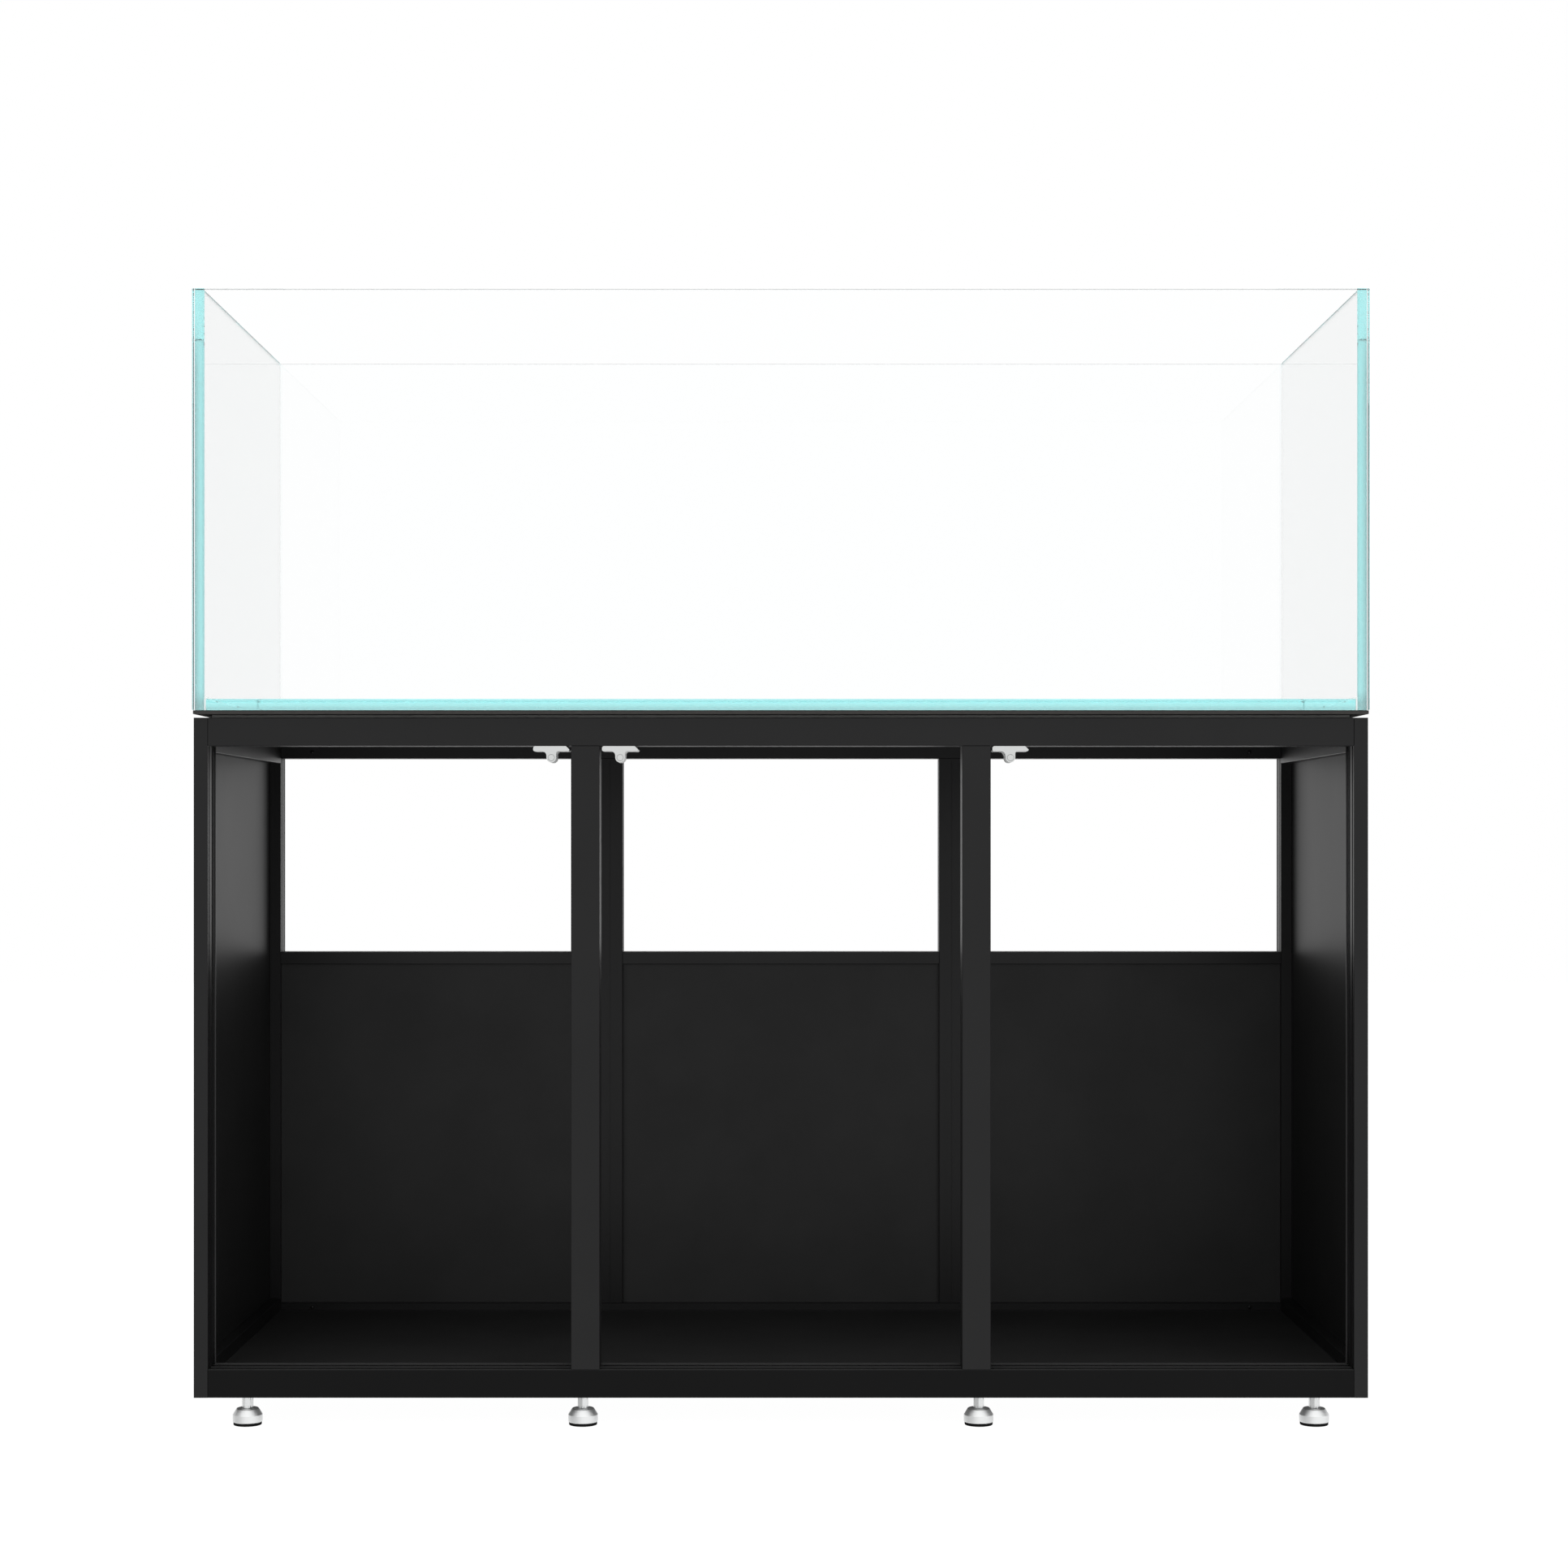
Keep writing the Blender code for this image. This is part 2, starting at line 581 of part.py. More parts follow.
def foot_stem_profile():
    """Neck, spanner part and rod; the spanner part is as wide as the hexagon's corners."""
    corner = HEX_FLATS / math.sqrt(3)
    edge, foot = 0.0008, SOCKET_FLOOR + GAP
    low, high = BASE_CONE_TOP + GAP, FOOT_HEIGHT - GAP
    return [
        (0, foot), (ROD_RADIUS - edge, foot), (ROD_RADIUS, foot + edge), (ROD_RADIUS, low),
        (corner - edge, low), (corner, low + edge / 2), (corner, high - edge / 2),
        (corner - edge, high), (ROD_RADIUS, high), (ROD_RADIUS, ROD_TOP - edge),
        (ROD_RADIUS - edge, ROD_TOP), (0, ROD_TOP),
    ]


def hexagon(across_flats):
    """Corners of a hexagon, one of them towards -Y."""
    corner = across_flats / math.sqrt(3)
    angles = [math.radians(60 * step - 90) for step in range(6)]
    return [(corner * math.cos(angle), corner * math.sin(angle)) for angle in angles]


def build_stem(name, material, axis, turn):
    """A round stem whose widest part is cut to a hexagon."""
    round_stem = turned(foot_stem_profile())
    stem = add_object(name, round_stem, material, (0, 0, 0), parent=axis, smooth=True)
    prism = extruded([hexagon(HEX_FLATS)], 4 * FOOT_HEIGHT)
    add_cutter(f"hexagon_{name}", prism, stem, (0, 0, 0), (0, 0, turn), axis, "INTERSECT")


def build_feet(material):
    """Eight feet under the long bottom rails; each base and stem share one upright axis."""
    columns = ("left", "centre_left", "centre_right", "right")
    for depth_name, toward_y in FRONT_BACK:
        for column, x in zip(columns, FOOT_X):
            place = f"{depth_name}_{column}"
            axis = add_empty(f"foot_axis_{place}", (x, toward_y * PROFILE_MIDDLE, 0))
            base = turned(foot_base_profile())
            add_object(f"foot_base_{place}", base, material, (0, 0, 0), parent=axis, smooth=True)
            turn = math.radians(30) if (depth_name, column) == TURNED_FOOT else 0
            build_stem(f"foot_stem_{place}", material, axis, turn)


def main():
    clear_scene()
    materials = make_materials()
    build_tank(materials)
    build_support(materials)
    build_stand(materials)
    build_latches(materials["latch"])
    build_feet(materials["foot"])


main()
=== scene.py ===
"""Looks of a rimless aquarium on its black profile stand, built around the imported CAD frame.

Lengths are in metres: +X to the right, +Y to the back, +Z up, the floor at z = 0.
"""

import math

import bmesh
import bpy
from mathutils import Matrix, Vector


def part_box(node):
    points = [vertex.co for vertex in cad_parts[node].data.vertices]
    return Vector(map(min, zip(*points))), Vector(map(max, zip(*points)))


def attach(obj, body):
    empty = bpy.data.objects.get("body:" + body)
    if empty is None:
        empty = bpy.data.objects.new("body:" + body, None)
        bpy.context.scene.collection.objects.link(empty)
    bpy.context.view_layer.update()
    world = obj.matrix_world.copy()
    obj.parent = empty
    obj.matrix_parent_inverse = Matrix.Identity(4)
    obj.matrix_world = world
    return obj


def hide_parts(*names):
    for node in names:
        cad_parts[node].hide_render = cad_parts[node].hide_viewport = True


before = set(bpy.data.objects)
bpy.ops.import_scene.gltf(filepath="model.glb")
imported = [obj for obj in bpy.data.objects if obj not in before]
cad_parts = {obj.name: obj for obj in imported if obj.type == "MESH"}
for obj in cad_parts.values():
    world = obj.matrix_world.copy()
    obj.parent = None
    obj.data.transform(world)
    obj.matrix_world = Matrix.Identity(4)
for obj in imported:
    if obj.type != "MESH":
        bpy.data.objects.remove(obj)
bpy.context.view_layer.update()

# ---- camera: level, in front of the middle of the object
CAMERA_PLACE = (0.0, -4.120, 0.7543)
CAMERA_LENS = 67.7
CAMERA_SHIFT = (0.0020, 0.0390)

# ---- studio
FLOOR_SIZE = 24.0
FLOOR_GLOW = 0.985
FLOOR_COLOUR = (0.10, 0.10, 0.10)
SKY_LIGHT = 1.0
LIGHT_CHANGES = (  # heading, where its change starts and ends as a cosine, and by how much
    ((0.0, 0.0, 1.0), 0.45, 0.95, 0.50),
    ((-0.95, -0.31, 0.0), 0.45, 0.95, -0.42),
    ((0.93, 0.37, 0.0), 0.75, 0.97, -0.12),
)

MM = 0.001
SHARP_ANGLE = 35.0  # degrees
LEFT_RIGHT = (("left", -1), ("right", 1))

# ---- surfaces
COAT_CLOUDS = 0.10  # how much lighter or darker a black coat gets from place to place
COAT_GRAIN = 0.03 * MM  # depth of the grain of coats, plastic and board
PLASTIC_CLOUDS = 1.04  # the plastic's lightest places against its colour
STEEL_CLOUDS = 0.94  # the steel's darkest places against its colour
STEEL_WEAR = 0.04  # spread of a steel part's roughness
STEEL_RINGS = 0.01 * MM  # depth of the rings left by turning
FOAM_GRAIN = 0.2 * MM
RUBBER_GRAIN = 0.04 * MM

# ---- painted shade on the panes' front edges: a share is how much of the base colour is kept there
EDGE_FACE = 1.4 * MM  # how deep an edge's painted shade reaches, and the deck's painted light edge
SIDE_SHADE = 0.6  # most painted shade on a side pane, near its outer face
SIDE_SHADE_STARTS = 7.5 * MM  # from the outer face
SIDE_SHADE_FULL = 1.0 * MM
SIDE_CLEAR_BELOW = 0.105  # the painted shade fades out between these depths below the top
SIDE_CLEAR_TOP = 0.030
SIDE_BASE_SHARE = 0.42  # at the base of a side pane
SIDE_BASE_LOW = 10.0 * MM  # the share rises to 1 between these heights above the base
SIDE_BASE_HIGH = 26.0 * MM
BOTTOM_SHARE = 0.55  # at the lower side of the bottom pane
BOTTOM_LOW = 3.0 * MM  # it rises to 1 between these
BOTTOM_HIGH = 8.0 * MM

# ---- levelling feet, from the middle of their pads
ROUND_STEPS = 64
ARC_STEPS = 3  # in each rounded edge
STEEL_ROUNDING = 0.35 * MM
RUBBER_ROUNDING = 0.2 * MM
BASE_RADIUS = 19.2 * MM
PAD_RADIUS = 18.3 * MM
PAD_TOP = 3.4 * MM
PAD_EDGE = 0.3 * MM
PAD_EDGE_TOP = 0.4 * MM
PAD_GAP = 0.02 * MM  # between the pad and the steel
RIM_CHAMFER = 1.3 * MM  # under the rim
RIM_TOP = 13.2 * MM
CONE_TOP = 21.5 * MM
CONE_RADIUS = 14.5 * MM
CONE_LIP = 0.7 * MM  # height of the sloping lip round the top of the cone
CONE_LIP_WIDTH = 0.9 * MM
SOCKET_RADIUS = 5.3 * MM
SOCKET_FLOOR = 12.0 * MM
HEX_FLATS = 13.5 * MM
HEX_CORNER = 7.55 * MM  # corners turned down to this radius
HEX_LOW = 21.8 * MM
HEX_HIGH = 37.7 * MM
HEX_CHAMFER = 0.7 * MM
HEX_STEPS = 96
ROD_RADIUS = 5.0 * MM
ROD_FOOT = 12.3 * MM
ROD_TOP = 66.0 * MM
NECK_CHAMFER = 0.6 * MM
STEM_OVERLAP = 0.4 * MM  # how far the neck and the rod reach into the spanner part
THREAD_PITCH = 1.5 * MM
THREAD_DEPTH = 0.8 * MM
THREAD_STEPS = 32
THREAD_ROWS = 6  # rings of points in one turn
THREAD_RUN_OUT = 0.7 * MM  # how far the rod's radius drops at its ends, over THREAD_LEAD rings
THREAD_LEAD = 3
TURNED_FOOT = "front_left"  # its hexagon shows a flat to the front

# ---- silicone and the liner's edge
GAP = 0.3 * MM
SEAM_DIP = 1.0 * MM  # how far a seam ends below the face of the bottom pane
BEAD_RISE = 2.5 * MM  # radius of the hollow fillet over an end seam
BEAD_STEPS = 6
BEAD_SQUEEZE = 0.25 * MM  # an end bead is this much wider on each side than its seam
SEAM_SLACK = 0.05 * MM  # between a long seam's strip and the end beads
LINER_SIDE = 2.8 * MM  # how far it stands into the bays at the posts
LINER_RISE = 1.5 * MM  # and above the bottom rail
LINER_HOLD = 4.0 * MM  # how far it reaches down behind the rail
LINER_THICKNESS = 2.0 * MM
LINER_EDGE = 0.4 * MM

# ---- screws
SCREW_RADIUS = 2.6 * MM
SCREW_HEIGHT = 1.6 * MM
SCREW_STEPS = 24
SCREW_X = 0.696  # from the middle of the stand
SCREW_LEVELS = (("top", 0.8925), ("bottom", 0.0680))  # heights of their centres


# ---------------------------------------------------------------- shader helpers
class Shader:
    """A material with a Principled BSDF and short calls to add nodes in front of it."""

    def __init__(self, name):
        self.material = bpy.data.materials.new(name)
        self.material.use_nodes = True
        self.tree = self.material.node_tree
        self.bsdf = self.tree.nodes["Principled BSDF"]
        self.output = self.tree.nodes["Material Output"]
        self.place = self.add("ShaderNodeTexCoord").outputs["Object"]

    def add(self, kind, **settings):
        node = self.tree.nodes.new(kind)
        for key, value in settings.items():
            setattr(node, key, value)
        return node

    def link(self, start, end):
        self.tree.links.new(start, end)

    def set(self, **values):
        """Plain values on the shader's own sockets; underscores stand for spaces."""
        for key, value in values.items():
            self.bsdf.inputs[key.replace("_", " ")].default_value = value

    def scaled(self, stretch):
        node = self.add("ShaderNodeMapping")
        node.inputs["Scale"].default_value = stretch
        self.link(self.place, node.inputs["Vector"])
        return node.outputs["Vector"]

    def noise(self, scale, detail=2.0, stretch=(1, 1, 1)):
        node = self.add("ShaderNodeTexNoise")
        node.inputs["Scale"].default_value = scale
        node.inputs["Detail"].default_value = detail
        self.link(self.scaled(stretch), node.inputs["Vector"])
        return node.outputs["Fac"]

    def cells(self, scale):
        node = self.add("ShaderNodeTexVoronoi")
        node.inputs["Scale"].default_value = scale
        self.link(self.place, node.inputs["Vector"])
        return node.outputs["Distance"]

    def along(self, axis, start, end, low, high, both_ways=False):
        """Follow a place on an axis: low up to start, high from end on."""
        parts = self.add("ShaderNodeSeparateXYZ")
        self.link(self.place, parts.inputs["Vector"])
        place = parts.outputs[axis]
        if both_ways:
            place = self.math("ABSOLUTE", place, 0.0)
        return self.spread(place, low, high, start, end)

    def math(self, operation, first, second):
        node = self.add("ShaderNodeMath", operation=operation)
        for socket, value in zip(node.inputs, (first, second)):
            if isinstance(value, bpy.types.NodeSocket):
                self.link(value, socket)
            else:
                socket.default_value = value
        return node.outputs[0]

    def facing_up(self):
        """0 on upright and lower faces, 1 on faces that look straight up."""
        parts = self.add("ShaderNodeSeparateXYZ")
        self.link(self.add("ShaderNodeNewGeometry").outputs["Normal"], parts.inputs["Vector"])
        return self.spread(parts.outputs["Z"], 0.0, 1.0, 0.5, 0.95)

    def spread(self, value, low, high, from_low=0.3, from_high=0.7):
        """Map a value, by default from where most noise lies, to the range low to high."""
        node = self.add("ShaderNodeMapRange")
        node.inputs["From Min"].default_value = from_low
        node.inputs["From Max"].default_value = from_high
        node.inputs["To Min"].default_value = low
        node.inputs["To Max"].default_value = high
        self.link(value, node.inputs["Value"])
        return node.outputs["Result"]

    def blend(self, share, first, second):
        """A colour between two, by share."""
        node = self.add("ShaderNodeMix", data_type="RGBA")
        self.link(share, node.inputs["Factor"])
        for socket, colour in ((node.inputs[6], first), (node.inputs[7], second)):
            if isinstance(colour, bpy.types.NodeSocket):
                self.link(colour, socket)
            else:
                socket.default_value = (*colour, 1.0)
        return node.outputs[2]

    def bump(self, height, distance):
        node = self.add("ShaderNodeBump")
        node.inputs["Distance"].default_value = distance
        self.link(height, node.inputs["Height"])
        self.link(node.outputs["Normal"], self.bsdf.inputs["Normal"])


def coated_metal(name, colour, roughness, specular, grain=0.0, wear=0.02, painted_top_light=None):
    """Black coat with faint clouds, grain under a millimetre and painted light, a lighter colour,
    on what faces up.
    """
    shader = Shader(name)
    clouds = shader.noise(9.0, detail=4.0)
    lighter = tuple((1.0 + COAT_CLOUDS) * channel for channel in colour)
    darker = tuple((1.0 - COAT_CLOUDS) * channel for channel in colour)
    tint = shader.blend(shader.spread(clouds, 0.0, 1.0), darker, lighter)
    # painted light: faces that look up get the lighter colour
    if painted_top_light:
        tint = shader.blend(shader.facing_up(), tint, painted_top_light)
    shader.link(tint, shader.bsdf.inputs["Base Color"])
    worn = shader.spread(shader.noise(7.0, detail=2.0), roughness - wear, roughness + wear)
    shader.link(worn, shader.bsdf.inputs["Roughness"])
    if grain:
        shader.bump(shader.noise(1500.0, detail=1.0), grain)
    shader.set(Specular_IOR_Level=specular)
    return shader.material


def glass_material(name, colour, absorbed, density, painted_front_shade=None):
    """Clear glass that turns cyan along the length of a pane.

    The front edge argument gives, for a shader, how much of the base colour the pane's front edge
    keeps; the rest is painted shade.
    """
    shader = Shader(name)
    shader.set(Base_Color=(*colour, 1.0), Roughness=0.0, IOR=1.5, Transmission_Weight=1.0)
    if painted_front_shade:
        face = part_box("pane_bottom")[0][1] + EDGE_FACE
        # painted shade: near the front face the base colour is darkened toward black
        at_front = shader.along("Y", face, face + EDGE_FACE, 1.0, 0.0)
        painted_dark_share = shader.math("SUBTRACT", 1.0, painted_front_shade(shader))
        share = shader.math("MULTIPLY", at_front, painted_dark_share)
        shader.link(shader.blend(share, colour, (0.0, 0.0, 0.0)), shader.bsdf.inputs["Base Color"])
    absorb = shader.add("ShaderNodeVolumeAbsorption")
    absorb.inputs["Color"].default_value = (*absorbed, 1.0)
    absorb.inputs["Density"].default_value = density
    shader.link(absorb.outputs["Volume"], shader.output.inputs["Volume"])
    return shader.material


def side_pane_painted_shade(shader):
    """Painted shade: darker near the outer face, but not at the top, and darker near the base."""
    low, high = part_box("pane_right")
    outer, base, top = high[0], low[2], high[2]
    starts, full = outer - SIDE_SHADE_STARTS, outer - SIDE_SHADE_FULL
    taken = shader.along("X", starts, full, 0.0, SIDE_SHADE, both_ways=True)
    below_top = shader.along("Z", top - SIDE_CLEAR_BELOW, top - SIDE_CLEAR_TOP, 1.0, 0.0)
    sideways = shader.math("SUBTRACT", 1.0, shader.math("MULTIPLY", taken, below_top))
    starts, full = base + SIDE_BASE_LOW, base + SIDE_BASE_HIGH
    upward = shader.along("Z", starts, full, SIDE_BASE_SHARE, 1.0)
    return shader.math("MULTIPLY", sideways, upward)


def bottom_pane_painted_shade(shader):
    """Painted shade: darker in the lowest third."""
    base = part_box("pane_bottom")[0][2]
    return shader.along("Z", base + BOTTOM_LOW, base + BOTTOM_HIGH, BOTTOM_SHARE, 1.0)


def silicone_material(name, clearness, smooth, rough, painted_glow=0.0):
    """Silicone, a little wavy where it was smoothed off; the glow argument is painted light, an
    emission that brightens it.
    """
    shader = Shader(name)
    shader.set(Base_Color=(0.99, 1.0, 1.0, 1.0), IOR=1.41, Transmission_Weight=clearness)
    shader.set(Emission_Color=(0.85, 1.0, 0.98, 1.0), Emission_Strength=painted_glow)
    cloud = shader.spread(shader.noise(120.0), smooth, rough)
    shader.link(cloud, shader.bsdf.inputs["Roughness"])
    return shader.material


def foam_material(name):
    """Closed-cell foam: dull, with fine cells."""
    shader = Shader(name)
    tint = shader.blend(shader.noise(400.0), (0.028, 0.027, 0.026), (0.056, 0.054, 0.052))
    shader.link(tint, shader.bsdf.inputs["Base Color"])
    shader.bump(shader.cells(1400.0), FOAM_GRAIN)
    shader.set(Roughness=0.85, Specular_IOR_Level=0.2)
    return shader.material


def plastic_material(name, colour):
    """Moulded plastic with a fine spark-eroded grain."""
    shader = Shader(name)
    lighter = tuple(min(1.0, PLASTIC_CLOUDS * channel) for channel in colour)
    tint = shader.blend(shader.noise(60.0), colour, lighter)
    shader.link(tint, shader.bsdf.inputs["Base Color"])
    shader.bump(shader.noise(2500.0, detail=1.0), COAT_GRAIN)
    shader.set(Roughness=0.45, Specular_IOR_Level=0.3)
    return shader.material


def steel_material(name, colour, roughness):
    """Turned and plated steel, with fine rings round the upright axis."""
    shader = Shader(name)
    tint = shader.blend(shader.noise(90.0), colour, tuple(STEEL_CLOUDS * c for c in colour))
    shader.link(tint, shader.bsdf.inputs["Base Color"])
    rings = shader.noise(500.0, stretch=(0.02, 0.02, 8.0))
    worn = shader.spread(rings, roughness - STEEL_WEAR, roughness + STEEL_WEAR)
    shader.link(worn, shader.bsdf.inputs["Roughness"])
    shader.bump(rings, STEEL_RINGS)
    shader.set(Metallic=1.0)
    return shader.material


def board_material(name):
    """A black-coated board whose front and back edges are painted light grey, painted light on
    edges that sit in shade.
    """
    shader = Shader(name)
    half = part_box("deck_panel")[1][1]
    at_edge = shader.along("Y", half - 2.0 * EDGE_FACE, half - EDGE_FACE, 0.0, 1.0, both_ways=True)
    clouds = shader.noise(9.0, detail=4.0)
    coat = shader.blend(clouds, (0.016, 0.016, 0.016), (0.020, 0.020, 0.020))
    # painted light: a light grey on the front and back edges, which sit in shade
    painted_light_edge = shader.blend(clouds, (0.36, 0.36, 0.35), (0.44, 0.44, 0.43))
    tint = shader.blend(at_edge, coat, painted_light_edge)
    shader.link(tint, shader.bsdf.inputs["Base Color"])
    shader.bump(shader.noise(900.0), COAT_GRAIN)
    shader.set(Roughness=0.7, Specular_IOR_Level=0.2)
    return shader.material


def rubber_material(name):
    """Black rubber with a fine moulded grain."""
    shader = Shader(name)
    tint = shader.blend(shader.noise(200.0), (0.003, 0.003, 0.003), (0.007, 0.007, 0.007))
    shader.link(tint, shader.bsdf.inputs["Base Color"])
    shader.bump(shader.noise(1800.0), RUBBER_GRAIN)
    shader.set(Roughness=0.8, Specular_IOR_Level=0.08)
    return shader.material


# ---------------------------------------------------------------- CAD nodes
def paint(material, *starts):
    """Give every CAD node whose name starts so this material."""
    for name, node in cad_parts.items():
        if name.startswith(starts):
            node.data.materials.clear()
            node.data.materials.append(material)


def paint_nodes():
    """Materials of the pieces that are shown as they are packed."""
    clear = (1.0, 1.0, 1.0)
    paint(glass_material("glass_across", clear, (0.40, 0.90, 0.91), 0.6), "pane_front", "pane_back")
    ends = (0.89, 0.87, 0.87)
    cyan = (0.075, 0.91, 0.92)
    side = glass_material("glass_side", ends, cyan, 1.6, side_pane_painted_shade)
    paint(side, "pane_left", "pane_right")
    bottom = (0.955, 0.955, 0.955)
    paint(glass_material("glass_bottom", bottom, cyan, 1.65, bottom_pane_painted_shade), "pane_bottom")
    paint(foam_material("foam"), "levelling_mat")
    satin = coated_metal("satin_black", (0.006, 0.006, 0.0062), 0.40, 0.25, COAT_GRAIN)
    paint(satin, "post_", "mullion_", "rail_", "side_rail_", "cross_rail_", "mid_rail_")
    # lower front rail: a darker copy of the satin black is painted shade, and the lighter colour on
    # its upward faces is painted light
    painted_top_light = (0.035, 0.035, 0.035)
    black = (0.0028, 0.0028, 0.0029)
    lower = coated_metal("satin_black_lower", black, 0.40, 0.10, COAT_GRAIN, painted_top_light=painted_top_light)
    paint(lower, "rail_front_bottom")
    gloss = coated_metal("gloss_black", (0.0125, 0.0125, 0.0126), 0.43, 0.12, wear=0.008)
    paint(gloss, "side_panel_")
    paint(coated_metal("matt_black", (0.028, 0.028, 0.0281), 0.50, 0.10), "back_panel_")
    paint(coated_metal("floor_black", (0.018, 0.018, 0.0181), 0.50, 0.14), "floor_panel")
    paint(board_material("coated_board"), "deck_panel")
    paint(plastic_material("pale_grey_plastic", (0.60, 0.61, 0.605)), "latch_")


# ---------------------------------------------------------------- meshes
def add_piece(name, bm, material, location, body):
    """A named piece that rides on a CAD body; edges sharper than SHARP_ANGLE stay sharp."""
    bmesh.ops.recalc_face_normals(bm, faces=bm.faces)
    mesh = bpy.data.meshes.new(name)
    bm.to_mesh(mesh)
    bm.free()
    mesh.shade_smooth()
    mesh.set_sharp_from_angle(angle=math.radians(SHARP_ANGLE))
    mesh.materials.append(material)
    piece = bpy.data.objects.new(name, mesh)
    piece.location = location
    bpy.context.scene.collection.objects.link(piece)
    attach(piece, body)
    return piece


def turned(profile, steps=ROUND_STEPS):
    """A closed bmesh: a profile of (radius, height) points spun about Z."""
    bm = bmesh.new()
    verts = [bm.verts.new((radius, 0, height)) for radius, height in profile]
    edges = [bm.edges.new(pair) for pair in zip(verts, verts[1:])]
    spun = {"axis": (0, 0, 1), "cent": (0, 0, 0), "steps": steps, "angle": math.tau}
    bmesh.ops.spin(bm, geom=verts + edges, **spun)
    bmesh.ops.remove_doubles(bm, verts=bm.verts[:], dist=1e-6)
    return bm


def rounded(points, radius):
    """A (radius, height) profile with an arc of about radius at each inner point."""
    path = [points[0]]
    for before, corner, after in zip(points, points[1:], points[2:]):
        corner = Vector(corner)
        into, out = Vector(before) - corner, Vector(after) - corner
        reach = min(radius, into.length / 2.2, out.length / 2.2)
        start, end = corner + into.normalized() * reach, corner + out.normalized() * reach
        for step in range(ARC_STEPS + 1):
            share = step / ARC_STEPS
            near, far = start.lerp(corner, share), corner.lerp(end, share)
            path.append(tuple(near.lerp(far, share)))
    path.append(points[-1])
    return path


# ---------------------------------------------------------------- levelling feet
def foot_base():
    """Turned steel base: rim with a lower chamfer, cone and socket."""
    low = PAD_TOP
    return turned(rounded([
        (0, low), (BASE_RADIUS - RIM_CHAMFER, low), (BASE_RADIUS, low + RIM_CHAMFER),
        (BASE_RADIUS, RIM_TOP), (CONE_RADIUS, CONE_TOP - CONE_LIP),
        (CONE_RADIUS - CONE_LIP_WIDTH, CONE_TOP), (SOCKET_RADIUS, CONE_TOP),
        (SOCKET_RADIUS, SOCKET_FLOOR), (0, SOCKET_FLOOR),
    ], STEEL_ROUNDING))


def foot_pad():
    """Rubber pad, moulded with a rounded lower edge."""
    top = PAD_TOP - PAD_GAP
    return turned(rounded([
        (0, 0), (PAD_RADIUS - PAD_EDGE, 0), (PAD_RADIUS, PAD_EDGE_TOP), (PAD_RADIUS, top),
        (0, top),
    ], RUBBER_ROUNDING))


def join_rings(bm, rings):
    """Close a stack of rings of points, all with as many points, into a solid."""
    for lower, upper in zip(rings, rings[1:]):
        for step in range(len(lower)):
            after = (step + 1) % len(lower)
            bm.faces.new((lower[step], lower[after], upper[after], upper[step]))
    bm.faces.new(rings[0][::-1])
    bm.faces.new(rings[-1])


def thread_radius(height):
    """Radius of a V thread at a height: full at the crests, THREAD_DEPTH less between."""
    phase = (height / THREAD_PITCH) % 1.0
    return ROD_RADIUS - THREAD_DEPTH * (1.0 - abs(2.0 * phase - 1.0))


def threaded_rod(bm, low, high):
    """Add a closed rod with a helical thread between two heights."""
    rows = round((high - low) / THREAD_PITCH * THREAD_ROWS)
    rings = []
    for row in range(rows + 1):
        height = low + (high - low) * row / rows
        ending = THREAD_RUN_OUT * max(0.0, 1.0 - min(row, rows - row) / THREAD_LEAD)
        ring = []
        for step in range(THREAD_STEPS):
            share = step / THREAD_STEPS
            angle = math.tau * share
            radius = thread_radius(height - share * THREAD_PITCH) - ending
            ring.append(bm.verts.new((radius * math.cos(angle), radius * math.sin(angle), height)))
        rings.append(ring)
    join_rings(bm, rings)


def hexagon_part(bm, turn):
    """Add the spanner part: a hexagon whose corners are turned to HEX_CORNER, edges broken."""
    levels = (
        (HEX_LOW, -HEX_CHAMFER), (HEX_LOW + HEX_CHAMFER, 0.0), (HEX_HIGH - HEX_CHAMFER, 0.0),
        (HEX_HIGH, -HEX_CHAMFER),
    )
    rings = []
    for height, cut in levels:
        ring = []
        for step in range(HEX_STEPS):
            angle = math.tau * step / HEX_STEPS
            off_flat = (angle - turn + math.radians(30)) % math.radians(60) - math.radians(30)
            flat = HEX_FLATS / 2 / math.cos(off_flat)
            radius = min(flat, HEX_CORNER + cut)
            ring.append(bm.verts.new((radius * math.cos(angle), radius * math.sin(angle), height)))
        rings.append(ring)
    join_rings(bm, rings)


def foot_stem(turn):
    """Neck, spanner part and threaded rod."""
    bm = bmesh.new()
    hexagon_part(bm, turn)
    threaded_rod(bm, HEX_HIGH - STEM_OVERLAP, ROD_TOP)
    neck_top = HEX_LOW + STEM_OVERLAP
    neck = turned([
        (0, ROD_FOOT), (ROD_RADIUS - NECK_CHAMFER, ROD_FOOT),
        (ROD_RADIUS, ROD_FOOT + NECK_CHAMFER), (ROD_RADIUS, neck_top), (0, neck_top),
    ])
    mesh = bpy.data.meshes.new("neck")
    neck.to_mesh(mesh)
    neck.free()
    bm.from_mesh(mesh)
    bpy.data.meshes.remove(mesh)
    return bm


